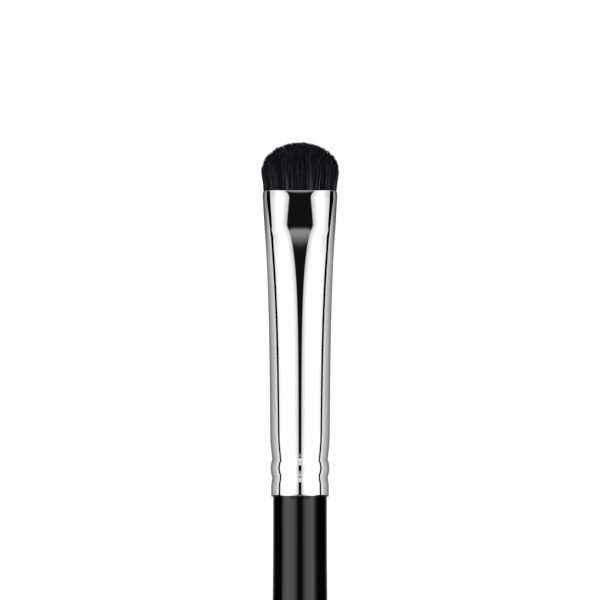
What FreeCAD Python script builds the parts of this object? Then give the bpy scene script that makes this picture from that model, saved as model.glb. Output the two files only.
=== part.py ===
import FreeCAD, Part
import math
import os

# Flat eyeshadow brush that lies on a table, tuft towards +Y, flat faces up and down.
# Millimetres. The origin is on the table, under the middle of the brush.
# A depth is a distance behind the mouth of the ferrule, along the brush.

# Handle, turned from wood
handle_length = 122.4  # from the end of the ferrule to the tail
handle_neck_diameter = 7.18
handle_neck_length = 4.0
handle_swell_length = 48.0
handle_belly_diameter = 8.0
handle_belly_length = 14.0
handle_tail_diameter = 4.7
handle_hollow_share = 0.3  # share of the swell that curves inwards, next to the neck
tenon_tip_diameter = 6.6
tenon_tip_length = 3.0
tenon_front_gap = 0.3

# Ferrule, drawn tube pressed flat at the mouth
ferrule_length = 41.0
ferrule_wall = 0.25
ferrule_lip_bevel = 0.08
mouth_width = 10.1
mouth_thickness = 5.5
mouth_flatness = 3.2  # exponent of the oval: 2 is an ellipse, more is flatter
knee_depth = 4.8
knee_width = 9.52
knee_softness = 0.8
thickness_recovery_length = 5.9
width_recovery_length = 10.7

# Crimped end of the ferrule
crimp_shoulder_length = 3.9
crimp_bead_length = 2.5
crimp_bead_rise = 0.23
crimp_bite = 0.14
crimp_runout_length = 1.3
crimp_collar_length = 1.2
crimp_collar_bevel = 0.1
crimp_clearance = 0.01
seat_clearance = 0.02

# Glue between the tenon and the tube
glue_thickness = 0.16
glue_front_margin = 0.5
glue_clearance = 0.01

# Tuft of filaments
tuft_free_length = 6.57
tuft_width = 10.54
tuft_thickness = 5.3
tuft_widest_height = 2.75
tuft_lip_width = 9.96
tuft_lip_thickness = 5.16
tuft_lip_height = 0.3
tuft_flatness = 2.3
tuft_gather_length = 3.0  # from the pressed bundle down to its tied waist
tuft_waist_diameter = 5.7
tuft_root_depth = 16.0
tuft_clearance = 0.02
tuft_dome_share = 0.95  # share of a quarter turn that the dome's sections reach

# Thread that binds the waist of the tuft, wound turn against turn
thread_diameter = 0.3
thread_turns = 7
thread_front_margin = 0.35
thread_back_margin = 0.85
thread_clearance = 0.02

# Resin plug that locks the root
plug_grip_length = 1.2
plug_back_length = 4.5
plug_dish_diameter = 6.0
plug_dish_depth = 0.6
plug_clearance = 0.02

# How finely the lofts are laid out
oval_points = 20
knee_steps = 4
rounding_steps = 8
rounding_spread = 1.5  # exponent: sections lie closer together near the knee
dome_steps = 8
cut_overrun = 0.5
join_tolerance = 0.001

# Sizes that follow from those above
neck_radius = handle_neck_diameter / 2
belly_radius = handle_belly_diameter / 2
tube_radius = neck_radius + glue_thickness + ferrule_wall
collar_radius = neck_radius + seat_clearance + ferrule_wall
groove_radius = neck_radius + ferrule_wall - crimp_bite
bead_radius = groove_radius + crimp_bead_rise
axis_height = max(tube_radius, belly_radius)

collar_depth = ferrule_length - crimp_collar_length
second_groove_depth = collar_depth - crimp_runout_length
first_groove_depth = second_groove_depth - crimp_bead_length
crimp_depth = first_groove_depth - crimp_shoulder_length
plug_front_depth = tuft_root_depth - plug_grip_length
plug_back_depth = tuft_root_depth + plug_back_length
thread_back_depth = plug_front_depth - thread_back_margin
thread_front_depth = thread_back_depth - thread_turns * thread_diameter
tuft_waist_depth = thread_front_depth - thread_front_margin
tuft_straight_depth = tuft_waist_depth - tuft_gather_length
tenon_depth = plug_back_depth + tenon_front_gap
glue_depth = tenon_depth + tenon_tip_length + glue_front_margin

total_length = tuft_free_length + ferrule_length + handle_length
mouth_y = total_length / 2 - tuft_free_length
axis_point = FreeCAD.Vector(0, 0, axis_height)
axis_direction = FreeCAD.Vector(0, 1, 0)


def point(across, depth, up=0):
    """A point given from the brush's axis and from the mouth of the ferrule."""
    return FreeCAD.Vector(across, mouth_y - depth, axis_height + up)


def line(start, end):
    """A straight edge between two (radius, depth) pairs."""
    return Part.LineSegment(point(*start), point(*end)).toShape()


def arc(start, middle, end):
    """A round edge through three (radius, depth) pairs."""
    return Part.Arc(point(*start), point(*middle), point(*end)).toShape()


def swell(start, end, hollow_share):
    """Two round edges that leave start and reach end along the brush, one hollow, one full."""
    rise = end[0] - start[0]
    hollow_length = hollow_share * (end[1] - start[1])
    full_length = end[1] - start[1] - hollow_length
    join = (start[0] + hollow_share * rise, start[1] + hollow_length)
    # A shallow arc that leaves along the brush has risen by a quarter at half its length.
    hollow_middle = (start[0] + (join[0] - start[0]) / 4, start[1] + hollow_length / 2)
    full_middle = (end[0] - (end[0] - join[0]) / 4, end[1] - full_length / 2)
    return [arc(start, hollow_middle, join), arc(join, full_middle, end)]


def turned(edges):
    """The solid that a closed outline sweeps round the brush's axis."""
    face = Part.Face(Part.Wire(edges))
    return face.revolve(axis_point, axis_direction, 360)


def cylinder(radius, front_depth, back_depth):
    """A plain cylinder on the brush's axis between two depths."""
    length = back_depth - front_depth
    return Part.makeCylinder(radius, length, point(0, back_depth), axis_direction)


def evenly(start, end, steps):
    """Depths from start to end in equal steps."""
    return [start + (end - start) * step / steps for step in range(steps + 1)]


def oval(depth, half_width, half_thickness, flatness):
    """A closed section across the brush: an ellipse whose flat faces are pressed in."""
    points = []
    for step in range(oval_points):
        turn = math.tau * step / oval_points
        across = math.sin(turn)
        rise = math.sqrt(max(0, 1 - abs(across) ** flatness))
        up = math.copysign(rise, math.cos(turn))
        points.append(point(half_width * across, depth, half_thickness * up))
    outline = Part.BSplineCurve()
    outline.interpolate(
        Points=points,
        PeriodicFlag=True,
        Parameters=list(range(oval_points + 1)),
    )
    return Part.Wire(outline.toShape())


def soft_ramp(distance):
    """Zero before the knee and the distance itself after it, with a rounded bend between."""
    if distance < -knee_softness:
        return 0
    if distance > knee_softness:
        return distance
    return (distance + knee_softness) ** 2 / (4 * knee_softness)


def pressed_share(depth, recovery_length):
    """How much of the press is left at a depth: 1 at the mouth, 0 where the crimp starts."""
    left = math.exp(-soft_ramp(depth - knee_depth) / recovery_length)
    left_at_crimp = math.exp(-(crimp_depth - knee_depth) / recovery_length)
    return (left - left_at_crimp) / (1 - left_at_crimp)


def ferrule_oval(depth, inset):
    """The ferrule's section at a depth, drawn in from its outside by an inset."""
    flat_share = pressed_share(depth, thickness_recovery_length)
    wide_share = pressed_share(depth, width_recovery_length)
    flare_share = soft_ramp(knee_depth - depth) / knee_depth
    half_width = tube_radius + wide_share * (knee_width / 2 - tube_radius)
    half_width += flare_share * (mouth_width - knee_width) / 2
    half_thickness = tube_radius + flat_share * (mouth_thickness / 2 - tube_radius)
    flatness = 2 + flat_share * (mouth_flatness - 2)
    return oval(depth, half_width - inset, half_thickness - inset, flatness)


def loft(ovals):
    """The solid through closed sections, straight from each to the next."""
    return Part.makeLoft(ovals, True, True)


def section_depths(front_depth, back_depth):
    """Depths of the sections between two depths: close together at the knee, wider behind."""
    depths = evenly(knee_depth - knee_softness, knee_depth + knee_softness, knee_steps)
    knee_end = depths[-1]
    for step in range(1, rounding_steps + 1):
        share = (step / rounding_steps) ** rounding_spread
        depths.append(knee_end + (crimp_depth - knee_end) * share)
    first = front_depth + join_tolerance
    last = back_depth - join_tolerance
    return [front_depth] + [depth for depth in depths if first < depth < last] + [back_depth]


def ferrule_filling(front_depth, back_depth, inset):
    """The solid that fills the ferrule between two depths, drawn in from its outside."""
    depths = section_depths(front_depth, back_depth)
    return loft([ferrule_oval(depth, inset) for depth in depths])


def pressed_end(inset, lip_side):
    """The solid inside the ferrule ahead of its crimp. Its lip is bevelled in (1) or out (-1)."""
    ovals = [ferrule_oval(0, inset + lip_side * ferrule_lip_bevel)]
    for depth in section_depths(ferrule_lip_bevel, crimp_depth):
        ovals.append(ferrule_oval(depth, inset))
    return loft(ovals)


def crimp_points(inset):
    """Places along the crimped end: tube, first groove, bead, second groove, collar, end."""
    bead_depth = (first_groove_depth + second_groove_depth) / 2
    return [
        (tube_radius - inset, crimp_depth),
        (groove_radius - inset, first_groove_depth),
        (bead_radius - inset, bead_depth),
        (groove_radius - inset, second_groove_depth),
        (collar_radius - inset, collar_depth),
        (collar_radius - inset, ferrule_length),
    ]


def round_crimp_edges():
    """The outside of the crimped end: a shoulder, two grooves with a bead between, a collar."""
    tube, first_groove, bead, second_groove, collar, end = crimp_points(0)
    bevel_start = (end[0], end[1] - crimp_collar_bevel)
    bevel_end = (end[0] - crimp_collar_bevel, end[1])
    # A shallow arc that leaves along the brush has fallen by a quarter at half its length.
    shoulder_middle = (
        tube[0] - (tube[0] - first_groove[0]) / 4,
        (tube[1] + first_groove[1]) / 2,
    )
    runout_middle = (
        collar[0] - (collar[0] - second_groove[0]) / 4,
        (collar[1] + second_groove[1]) / 2,
    )
    return [
        arc(tube, shoulder_middle, first_groove),
        arc(first_groove, bead, second_groove),
        arc(second_groove, runout_middle, collar),
        line(collar, bevel_start),
        line(bevel_start, bevel_end),
        line(bevel_end, (0, ferrule_length)),
    ]


def straight_crimp_edges(inset):
    """The inside of the crimped end, and the dents that it leaves, with straight flanks."""
    points = crimp_points(inset)
    return [line(start, end) for start, end in zip(points, points[1:])]


def make_ferrule():
    """The plated tube, with its bevelled lip and its two crimped grooves."""
    closing = [
        line((0, ferrule_length), (0, crimp_depth)),
        line((0, crimp_depth), (tube_radius, crimp_depth)),
    ]
    bore_radius = collar_radius - ferrule_wall
    bore_closing = [
        line((bore_radius, ferrule_length), (0, ferrule_length)),
        line((0, ferrule_length), (0, crimp_depth)),
        line((0, crimp_depth), (tube_radius - ferrule_wall, crimp_depth)),
    ]
    crimp_outside = turned(round_crimp_edges() + closing)
    crimp_bore = turned(straight_crimp_edges(ferrule_wall) + bore_closing)
    outside = pressed_end(0, 1).fuse([crimp_outside], join_tolerance)
    bore = pressed_end(ferrule_wall, -1).fuse([crimp_bore], join_tolerance)
    return outside.cut(bore)


def make_handle():
    """The turned handle: tenon, neck, belly, taper and round tail, dented by the crimp."""
    tip_radius = tenon_tip_diameter / 2
    tail_radius = handle_tail_diameter / 2
    neck_end = ferrule_length + handle_neck_length
    belly_start = neck_end + handle_swell_length
    belly_end = belly_start + handle_belly_length
    tail_end = ferrule_length + handle_length
    tenon_full_depth = tenon_depth + tenon_tip_length
    # The taper is a shallow arc, and the tail is a ball that meets it along its slope.
    taper_fall = belly_radius - tail_radius
    taper_angle = math.atan(2 * taper_fall / (tail_end - tail_radius - belly_end))
    ball_radius = tail_radius / math.cos(taper_angle)
    ball_depth = tail_end - ball_radius
    taper_end = ball_depth + ball_radius * math.sin(taper_angle)
    taper_middle = (belly_radius - taper_fall / 4, (belly_end + taper_end) / 2)
    middle_angle = (math.pi / 2 + taper_angle) / 2
    ball_middle = (
        ball_radius * math.cos(middle_angle),
        ball_depth + ball_radius * math.sin(middle_angle),
    )
    outline = [
        line((0, tenon_depth), (tip_radius, tenon_depth)),
        line((tip_radius, tenon_depth), (neck_radius, tenon_full_depth)),
        line((neck_radius, tenon_full_depth), (neck_radius, neck_end)),
    ]
    outline += swell((neck_radius, neck_end), (belly_radius, belly_start), handle_hollow_share)
    outline += [
        line((belly_radius, belly_start), (belly_radius, belly_end)),
        arc((belly_radius, belly_end), taper_middle, (tail_radius, taper_end)),
        arc((tail_radius, taper_end), ball_middle, (0, tail_end)),
        line((0, tail_end), (0, tenon_depth)),
    ]
    inset = ferrule_wall + crimp_clearance
    outer_radius = tube_radius + cut_overrun
    crimp_tool = straight_crimp_edges(inset) + [
        line((collar_radius - inset, ferrule_length), (outer_radius, ferrule_length)),
        line((outer_radius, ferrule_length), (outer_radius, crimp_depth)),
        line((outer_radius, crimp_depth), (tube_radius - inset, crimp_depth)),
    ]
    return turned(outline).cut(turned(crimp_tool))


def make_tenon_glue():
    """The thin sleeve of glue that fills the room between tenon and tube."""
    filling = ferrule_filling(glue_depth, crimp_depth, ferrule_wall + glue_clearance)
    tenon_room = cylinder(
        neck_radius + glue_clearance,
        glue_depth - cut_overrun,
        crimp_depth + cut_overrun,
    )
    return filling.cut(tenon_room)


def make_root_epoxy():
    """The resin plug, cast round the root of the tuft, with a dished back."""
    plug = ferrule_filling(plug_front_depth, plug_back_depth, ferrule_wall + plug_clearance)
    root_room = cylinder(
        tuft_waist_diameter / 2 + plug_clearance,
        plug_front_depth - cut_overrun,
        tuft_root_depth + plug_clearance,
    )
    dish_reach = plug_dish_diameter / 2
    dish_radius = (dish_reach**2 + plug_dish_depth**2) / (2 * plug_dish_depth)
    dish_centre = point(0, plug_back_depth - plug_dish_depth + dish_radius)
    dish = Part.makeSphere(dish_radius, dish_centre)
    return plug.cut(root_room).cut(dish)


def make_binding_thread():
    """The binding: turns of thread side by side round the waist of the tuft, as one band."""
    thread_radius = thread_diameter / 2
    inner_radius = tuft_waist_diameter / 2 + thread_clearance
    middle_radius = inner_radius + thread_radius
    outer_radius = inner_radius + thread_diameter
    corners = [
        (inner_radius, thread_front_depth),
        (middle_radius, thread_front_depth),
        (outer_radius, thread_front_depth + thread_radius),
        (outer_radius, thread_back_depth - thread_radius),
        (middle_radius, thread_back_depth),
        (inner_radius, thread_back_depth),
    ]
    return turned([line(start, end) for start, end in zip(corners, corners[1:] + corners[:1])])


def make_tuft():
    """The bundle of filaments: tied waist, flare, pressed body in the mouth, and dome."""
    inset = ferrule_wall + tuft_clearance
    waist_radius = tuft_waist_diameter / 2
    waist_oval = oval(tuft_waist_depth, waist_radius, waist_radius, 2)
    root_oval = oval(tuft_root_depth, waist_radius, waist_radius, 2)
    lip_oval = oval(-tuft_lip_height, tuft_lip_width / 2, tuft_lip_thickness / 2, tuft_flatness)

    last_angle = tuft_dome_share * math.pi / 2
    dome_rise = (tuft_free_length - tuft_widest_height) / math.sin(last_angle)
    free_ovals = [lip_oval]
    for step in range(dome_steps + 1):
        angle = last_angle * step / dome_steps
        height = tuft_widest_height + dome_rise * math.sin(angle)
        free_ovals.append(
            oval(
                -height,
                tuft_width / 2 * math.cos(angle),
                tuft_thickness / 2 * math.cos(angle),
                tuft_flatness,
            )
        )

    held_ovals = [root_oval, waist_oval]
    knee_end = knee_depth + knee_softness
    for depth in (tuft_straight_depth, knee_end, knee_depth, knee_depth - knee_softness, 0):
        held_ovals.append(ferrule_oval(depth, inset))
    return loft(held_ovals + free_ovals)


def main():
    """Build each piece, check that it is one sound solid and write its file."""
    os.makedirs("parts", exist_ok=True)
    pieces = {
        "handle": make_handle(),
        "tenon_glue": make_tenon_glue(),
        "ferrule": make_ferrule(),
        "root_epoxy": make_root_epoxy(),
        "binding_thread": make_binding_thread(),
        "tuft": make_tuft(),
    }
    for name, shape in pieces.items():
        if len(shape.Solids) != 1 or not shape.isValid():
            raise ValueError(f"{name} isn't one sound solid")
        solid = shape.Solids[0]
        box = solid.optimalBoundingBox(False, False)
        print(
            f"{name}: {solid.Volume:.2f} mm3, {len(solid.Faces)} faces,"
            f" x {box.XMin:.2f} to {box.XMax:.2f}, y {box.YMin:.2f} to {box.YMax:.2f},"
            f" z {box.ZMin:.2f} to {box.ZMax:.2f}"
        )
        solid.exportStep(f"parts/{name}.step")


main()
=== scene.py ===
# %% [markdown]
# # A flat eyeshadow brush
# The brush lies on a pale table: a short domed tuft of black filaments, a plated ferrule that is
# pressed flat at its mouth, and a turned, lacquered handle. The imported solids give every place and
# size, and this lesson dresses them: the ferrule and the handle are made again as fine smooth
# meshes, because gloss shows each facet, and the tuft is made of single filaments.

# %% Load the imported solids
import math

import bpy
import numpy as np
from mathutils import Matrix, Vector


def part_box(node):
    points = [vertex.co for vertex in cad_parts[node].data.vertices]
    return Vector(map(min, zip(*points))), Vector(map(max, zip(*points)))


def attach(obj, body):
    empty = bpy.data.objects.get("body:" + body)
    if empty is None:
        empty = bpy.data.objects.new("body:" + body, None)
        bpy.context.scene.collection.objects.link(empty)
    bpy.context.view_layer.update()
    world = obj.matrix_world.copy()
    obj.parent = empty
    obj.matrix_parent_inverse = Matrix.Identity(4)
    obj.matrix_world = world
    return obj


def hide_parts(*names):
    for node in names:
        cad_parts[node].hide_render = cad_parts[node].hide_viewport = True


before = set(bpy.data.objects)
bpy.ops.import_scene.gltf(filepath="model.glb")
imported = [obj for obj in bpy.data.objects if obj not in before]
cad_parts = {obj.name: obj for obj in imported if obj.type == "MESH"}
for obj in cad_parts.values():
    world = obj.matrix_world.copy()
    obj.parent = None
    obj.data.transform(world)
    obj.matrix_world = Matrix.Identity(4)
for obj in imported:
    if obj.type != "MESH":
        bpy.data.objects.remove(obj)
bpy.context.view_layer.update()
MM = 0.001
print("nodes:", sorted(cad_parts))

# %% [markdown]
# ## Where things are
# All places along the brush are depths behind the ferrule's mouth, in millimetres, as a brush maker
# would measure them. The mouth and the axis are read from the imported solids, so the dressing stays
# on them.

# %% Read the mouth, the axis and the tail
ferrule_low, ferrule_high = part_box("ferrule")
handle_low, handle_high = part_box("handle")
tuft_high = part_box("tuft")[1]
mouth_y = ferrule_high.y
axis_z = (ferrule_low.z + ferrule_high.z) / 2
ferrule_length = (ferrule_high.y - ferrule_low.y) / MM
tail_depth = (mouth_y - handle_low.y) / MM
free_length = (tuft_high.y - mouth_y) / MM
print(f"ferrule {ferrule_length:.2f} mm, tail at {tail_depth:.2f} mm, tuft {free_length:.2f} mm")


def deselect_everything():
    """Leave edit mode and start with nothing selected, as each new piece does."""
    if bpy.context.mode != "OBJECT":
        bpy.ops.object.mode_set(mode="OBJECT")
    bpy.ops.object.select_all(action="DESELECT")


def put_place_in_mesh(piece):
    """Apply the object's move, turn and scale to its mesh, so the object sits at the origin."""
    deselect_everything()
    piece.select_set(True)
    bpy.context.view_layer.objects.active = piece
    bpy.ops.object.transform_apply(location=True, rotation=True, scale=True)


# %% [markdown]
# ## Camera
# The photograph looks down at the flat face from far off, so the outline has almost no perspective.
# The lip and the grooves bow a little towards the tuft, which tells that the camera stands over the
# middle of the brush and leans towards the tuft. A long lens a metre off gives the same view.

# %% Long lens above the table
CAMERA_DISTANCE = 1.0
CAMERA_LEAN = math.radians(3.0)
PICTURE_WIDTH = 80.4 * MM
PICTURE_CENTRE_DEPTH = 14.67
SENSOR_WIDTH = 36.0

deselect_everything()
bpy.ops.object.camera_add(
    location=(
        0,
        mouth_y - PICTURE_CENTRE_DEPTH * MM - CAMERA_DISTANCE * math.sin(CAMERA_LEAN),
        axis_z + CAMERA_DISTANCE * math.cos(CAMERA_LEAN),
    ),
    rotation=(CAMERA_LEAN, 0, 0),
)
camera = bpy.context.object
camera.name = "camera_above"
camera.data.sensor_width = SENSOR_WIDTH
camera.data.lens = SENSOR_WIDTH * CAMERA_DISTANCE / PICTURE_WIDTH
bpy.context.scene.camera = camera
bpy.context.scene.view_settings.view_transform = "Standard"
print(f"lens {camera.data.lens:.0f} mm")

# %% [markdown]
# ## Node helpers
# Materials are built in code. A small helper adds a node and sets its sockets, so each material
# below reads as a list of what feeds what.

# %% Small helpers for materials


def new_material(name):
    """A material with an empty node tree and an output."""
    material = bpy.data.materials.new(name)
    material.use_nodes = True
    tree = material.node_tree
    tree.nodes.clear()
    output = tree.nodes.new("ShaderNodeOutputMaterial")
    return material, tree, output


def add_node(tree, kind, settings=None, **sockets):
    """Add a node; settings are its own fields, sockets are values or links for its inputs."""
    node = tree.nodes.new("ShaderNode" + kind)
    for field, value in (settings or {}).items():
        setattr(node, field, value)
    for name, value in sockets.items():
        key = int(name[1:]) if name[0] == "_" and name[1:].isdigit() else name.replace("_", " ")
        socket = node.inputs[key]
        if isinstance(value, bpy.types.NodeSocket):
            tree.links.new(value, socket)
        else:
            socket.default_value = value
    return node


def math_node(tree, operation, *values):
    """A Math node; returns its output."""
    sockets = {f"_{place}": value for place, value in enumerate(values)}
    return add_node(tree, "Math", {"operation": operation}, **sockets).outputs[0]


def ease(value, start, end):
    """0 up to start, 1 from end on, with a soft turn between; start may be the larger one."""
    share = np.clip((value - start) / (end - start), 0, 1)
    return share * share * (3 - 2 * share)


# %% [markdown]
# ## Table
# The table is plain and nearly white. It shows as white to the camera, and its dull coat under that
# still takes the brush's shadow. In the metal it shows white far off, with a painted shade close to
# the brush: its glow there falls off with the distance from the brush's axis, and more so towards
# the mouth. This painted shade is what draws the grey edge along a polished tube.

# %% Pale table
TABLE_RADIUS = 1.6
TABLE_GLOW = 0.90
TABLE_COAT = (0.22, 0.22, 0.22, 1)
TABLE_DULL = (0.8, 0.8, 0.8, 1)
WHITE = (1, 1, 1, 1)
# Painted shade of the table in the metal: distance from the brush's axis in mm, and glow there.
PAINTED_SHADE_DISTANCES = [4, 8, 10, 12.5, 16, 21, 32, 60]
PAINTED_SHADE_GLOWS = [0.10, 0.29, 0.42, 0.50, 0.57, 0.63, 0.84, 0.92]
# Towards the mouth the painted shade is deepened: the glow is raised to a power that grows to this.
MOUTH_CONTRAST = 2.0
CONTRAST_START, CONTRAST_END = 10.0, 1.0

deselect_everything()
bpy.ops.mesh.primitive_circle_add(vertices=96, radius=TABLE_RADIUS, fill_type="NGON")
table = bpy.context.object
table.name = "table"

table_material, tree, output = new_material("pale_table")
rays = tree.nodes.new("ShaderNodeLightPath")
place = add_node(tree, "SeparateXYZ", Vector=tree.nodes.new("ShaderNodeTexCoord").outputs["Object"])
reach = PAINTED_SHADE_DISTANCES[-1] * MM
ramp = add_node(
    tree, "ValToRGB",
    Fac=math_node(tree, "DIVIDE", math_node(tree, "ABSOLUTE", place.outputs["X"]), reach),
)
stops = ramp.color_ramp.elements
for index, (distance, level) in enumerate(zip(PAINTED_SHADE_DISTANCES, PAINTED_SHADE_GLOWS)):
    stop = stops[index] if index < 2 else stops.new(1.0)
    stop.position = distance * MM / reach
    stop.color = (level, level, level, 1)
towards_mouth = add_node(
    tree, "MapRange", {"interpolation_type": "SMOOTHSTEP"}, Value=place.outputs["Y"],
    From_Min=mouth_y - CONTRAST_START * MM, From_Max=mouth_y - CONTRAST_END * MM,
    To_Min=1.0, To_Max=MOUTH_CONTRAST,
)
# Painted shade: the glow that the metal sees is set by place, not cast by the brush.
shade = math_node(tree, "POWER", ramp.outputs["Color"], towards_mouth.outputs[0])
dull = add_node(tree, "BsdfDiffuse", Color=TABLE_DULL)
thin_coat = add_node(tree, "BsdfDiffuse", Color=TABLE_COAT)
camera_glow = add_node(tree, "Emission", Color=WHITE, Strength=TABLE_GLOW)
seen_by_camera = add_node(tree, "AddShader", _0=camera_glow.outputs[0], _1=thin_coat.outputs[0])
painted_shade_in_gloss = add_node(tree, "Emission", Color=WHITE, Strength=shade)
gloss_rays = math_node(
    tree, "MAXIMUM", rays.outputs["Is Glossy Ray"], rays.outputs["Is Transmission Ray"],
)
lit = add_node(tree, "MixShader", _0=gloss_rays, _1=dull.outputs[0], _2=painted_shade_in_gloss.outputs[0])
mixed = add_node(
    tree, "MixShader",
    _0=rays.outputs["Is Camera Ray"], _1=lit.outputs[0], _2=seen_by_camera.outputs[0],
)
tree.links.new(mixed.outputs[0], output.inputs["Surface"])
table.data.materials.append(table_material)
print("table:", len(table.data.vertices), "vertices")

# %% [markdown]
# ## Light tent
# Polished metal only shows what stands round it, so the light is a tent: two long softboxes left
# and right with a dark slot between them for the camera. The tent is one sheet bent over the brush.
# Each point of it holds its own glow, worked out from its angle over the brush and its place along
# the brush. The camera doesn't see the tent: it lights the brush and shows in its gloss.

# %% How bright each part of the tent is
SLOT_ANGLE = 5.6
SLOT_SOFTNESS = 0.5
SLOT_FLARE, FLARE_START, FLARE_END = 1.0, 120, 240
# Glow of the two softboxes by the angle from straight up, and of the slot by its place in mm.
BAND_ANGLES = [0, 6, 7.3, 9, 11, 13, 15, 17, 21, 28, 40, 62, 90]
BAND_LEVELS = [0.60, 0.62, 0.68, 0.76, 0.86, 0.95, 1.03, 1.08, 1.15, 1.35, 1.55, 1.75, 1.65]
SLOT_PLACES = [
    -131, -103, -51, -31, -27, -22, 155, 164, 168,
    171, 174, 184, 199, 205, 212, 222, 236, 260,
]
SLOT_LEVELS = [
    0.60, 0.48, 0.30, 0.30, 0.12, 0.006, 0.006, 0.009, 0.013,
    0.027, 0.054, 0.13, 0.275, 0.285, 0.275, 0.28, 0.40, 0.40,
]
SOFTBOX_PLACES, SOFTBOX_LEVELS = [42, 57, 80, 97], [1.0, 0.94, 1.0, 1.08]
# Towards its two ends, the lower part of each softbox is dimmer.
SOFTBOX_MIDDLE, SOFTBOX_END_SHADE = 40.0, 0.65
END_SHADE_START, END_SHADE_FULL = 140, 280
END_SHADE_ANGLE, END_SHADE_FULL_ANGLE = 55, 70


def tent_glow(angle, y):
    """Glow of the tent at an angle from straight up, in degrees, and a place along it, in mm."""
    slot = SLOT_ANGLE + SLOT_FLARE * ease(y, FLARE_START, FLARE_END)
    softboxes = np.interp(angle, BAND_ANGLES, BAND_LEVELS)
    softboxes = softboxes * np.interp(y, SOFTBOX_PLACES, SOFTBOX_LEVELS)
    past_end = ease(np.abs(y - SOFTBOX_MIDDLE), END_SHADE_START, END_SHADE_FULL)
    past_end = past_end * ease(angle, END_SHADE_ANGLE, END_SHADE_FULL_ANGLE)
    softboxes = softboxes * (1 - SOFTBOX_END_SHADE * past_end)
    in_slot = 1 - ease(angle, slot - SLOT_SOFTNESS, slot + SLOT_SOFTNESS)
    return softboxes * (1 - in_slot) + np.interp(y, SLOT_PLACES, SLOT_LEVELS) * in_slot


# %% Bend a sheet over the brush and give it its glow
TENT_RADIUS = 300.0
TENT_REACH = 520.0
TENT_COLUMNS, TENT_ROWS = 180, 140
TENT_MIDDLE_DEPTH = 14
COLUMN_SPREAD = 0.25
ROW_SPREAD = 1.6

deselect_everything()
bpy.ops.mesh.primitive_grid_add(x_subdivisions=TENT_COLUMNS, y_subdivisions=TENT_ROWS, size=2)
tent = bpy.context.object
tent.name = "light_tent"
sheet = np.empty(len(tent.data.vertices) * 3)
tent.data.vertices.foreach_get("co", sheet)
sheet = sheet.reshape(-1, 3)
# The sheet's columns and rows stand closer together in the middle, where the glow changes most.
column, row = sheet[:, 0], sheet[:, 1]
tent_angle = (COLUMN_SPREAD * column + (1 - COLUMN_SPREAD) * column**3) * math.pi / 2
tent_middle = mouth_y / MM - TENT_MIDDLE_DEPTH
tent_place = tent_middle + np.sign(row) * np.abs(row) ** ROW_SPREAD * TENT_REACH
glow_levels = tent_glow(np.degrees(np.abs(tent_angle)), tent_place)
bent = np.column_stack([
    TENT_RADIUS * np.sin(tent_angle) * MM,
    tent_place * MM,
    axis_z + TENT_RADIUS * np.cos(tent_angle) * MM,
])
tent.data.vertices.foreach_set("co", bent.ravel())
tent.data.attributes.new("glow", "FLOAT", "POINT").data.foreach_set("value", glow_levels)
tent.data.update()

tent_material, tree, output = new_material("tent_cloth")
level = add_node(tree, "Attribute", {"attribute_name": "glow"})
shine = add_node(tree, "Emission", Color=WHITE, Strength=level.outputs["Fac"])
tree.links.new(shine.outputs[0], output.inputs["Surface"])
tent.data.materials.append(tent_material)
tent.visible_camera = False
print("tent:", len(tent.data.polygons), "faces, brightest", round(float(glow_levels.max()), 2))

# %% [markdown]
# The tent's two ends are closed by plain cards. Close to the brush, black flags stand along both
# sides, as they do in a studio: they draw the dark line along each side of the tube. Above each
# flag hangs a graded filter that lets less and less light through towards the flag, and a narrow
# one hangs over the handle. They stand close, so each stretch of the brush sees only its own.

# %% End cards
FRONT_GLOW, BACK_GLOW = 0.30, 0.8


def hide_from_camera(cloth):
    """A card or filter belongs to the studio, and the camera looks through it."""
    cloth.visible_camera = False


for name, strength, y in (
    ("front_card", FRONT_GLOW, float(tent_place.max())),
    ("back_card", BACK_GLOW, float(tent_place.min())),
):
    deselect_everything()
    bpy.ops.mesh.primitive_plane_add(
        size=2 * TENT_RADIUS * MM, location=(0, y * MM, axis_z), rotation=(math.pi / 2, 0, 0),
    )
    card = bpy.context.object
    card.name = name
    put_place_in_mesh(card)
    material, tree, output = new_material(name)
    even = add_node(tree, "Emission", Color=WHITE, Strength=strength)
    tree.links.new(even.outputs[0], output.inputs["Surface"])
    card.data.materials.append(material)
    hide_from_camera(card)

# %% Graded sheets: how much light passes is kept in each point
graded, tree, output = new_material("graded_filter")
passing = add_node(tree, "Attribute", {"attribute_name": "passing"})
clear = add_node(tree, "BsdfTransparent", Color=passing.outputs["Color"])
tree.links.new(clear.outputs[0], output.inputs["Surface"])


def graded_sheet(name, columns, rows, shape):
    """A sheet; shape(across, along), each from 0 to 1, gives x, y, z in mm and the light passed."""
    deselect_everything()
    bpy.ops.mesh.primitive_grid_add(x_subdivisions=columns, y_subdivisions=rows, size=2)
    sheet = bpy.context.object
    sheet.name = name
    flat = np.empty(len(sheet.data.vertices) * 3)
    sheet.data.vertices.foreach_get("co", flat)
    share = (flat.reshape(-1, 3) + 1) / 2
    x, y, z, passed = np.broadcast_arrays(*shape(share[:, 0], share[:, 1]))
    sheet.data.vertices.foreach_set("co", (np.column_stack([x, y, z]) * MM).ravel())
    levels = np.column_stack([passed, passed, passed, np.ones_like(passed)])
    attribute = sheet.data.attributes.new("passing", "FLOAT_COLOR", "POINT")
    attribute.data.foreach_set("color", levels.ravel())
    sheet.data.update()
    sheet.data.materials.append(graded)
    sheet.visible_diffuse = False
    sheet.visible_shadow = False
    hide_from_camera(sheet)


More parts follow.
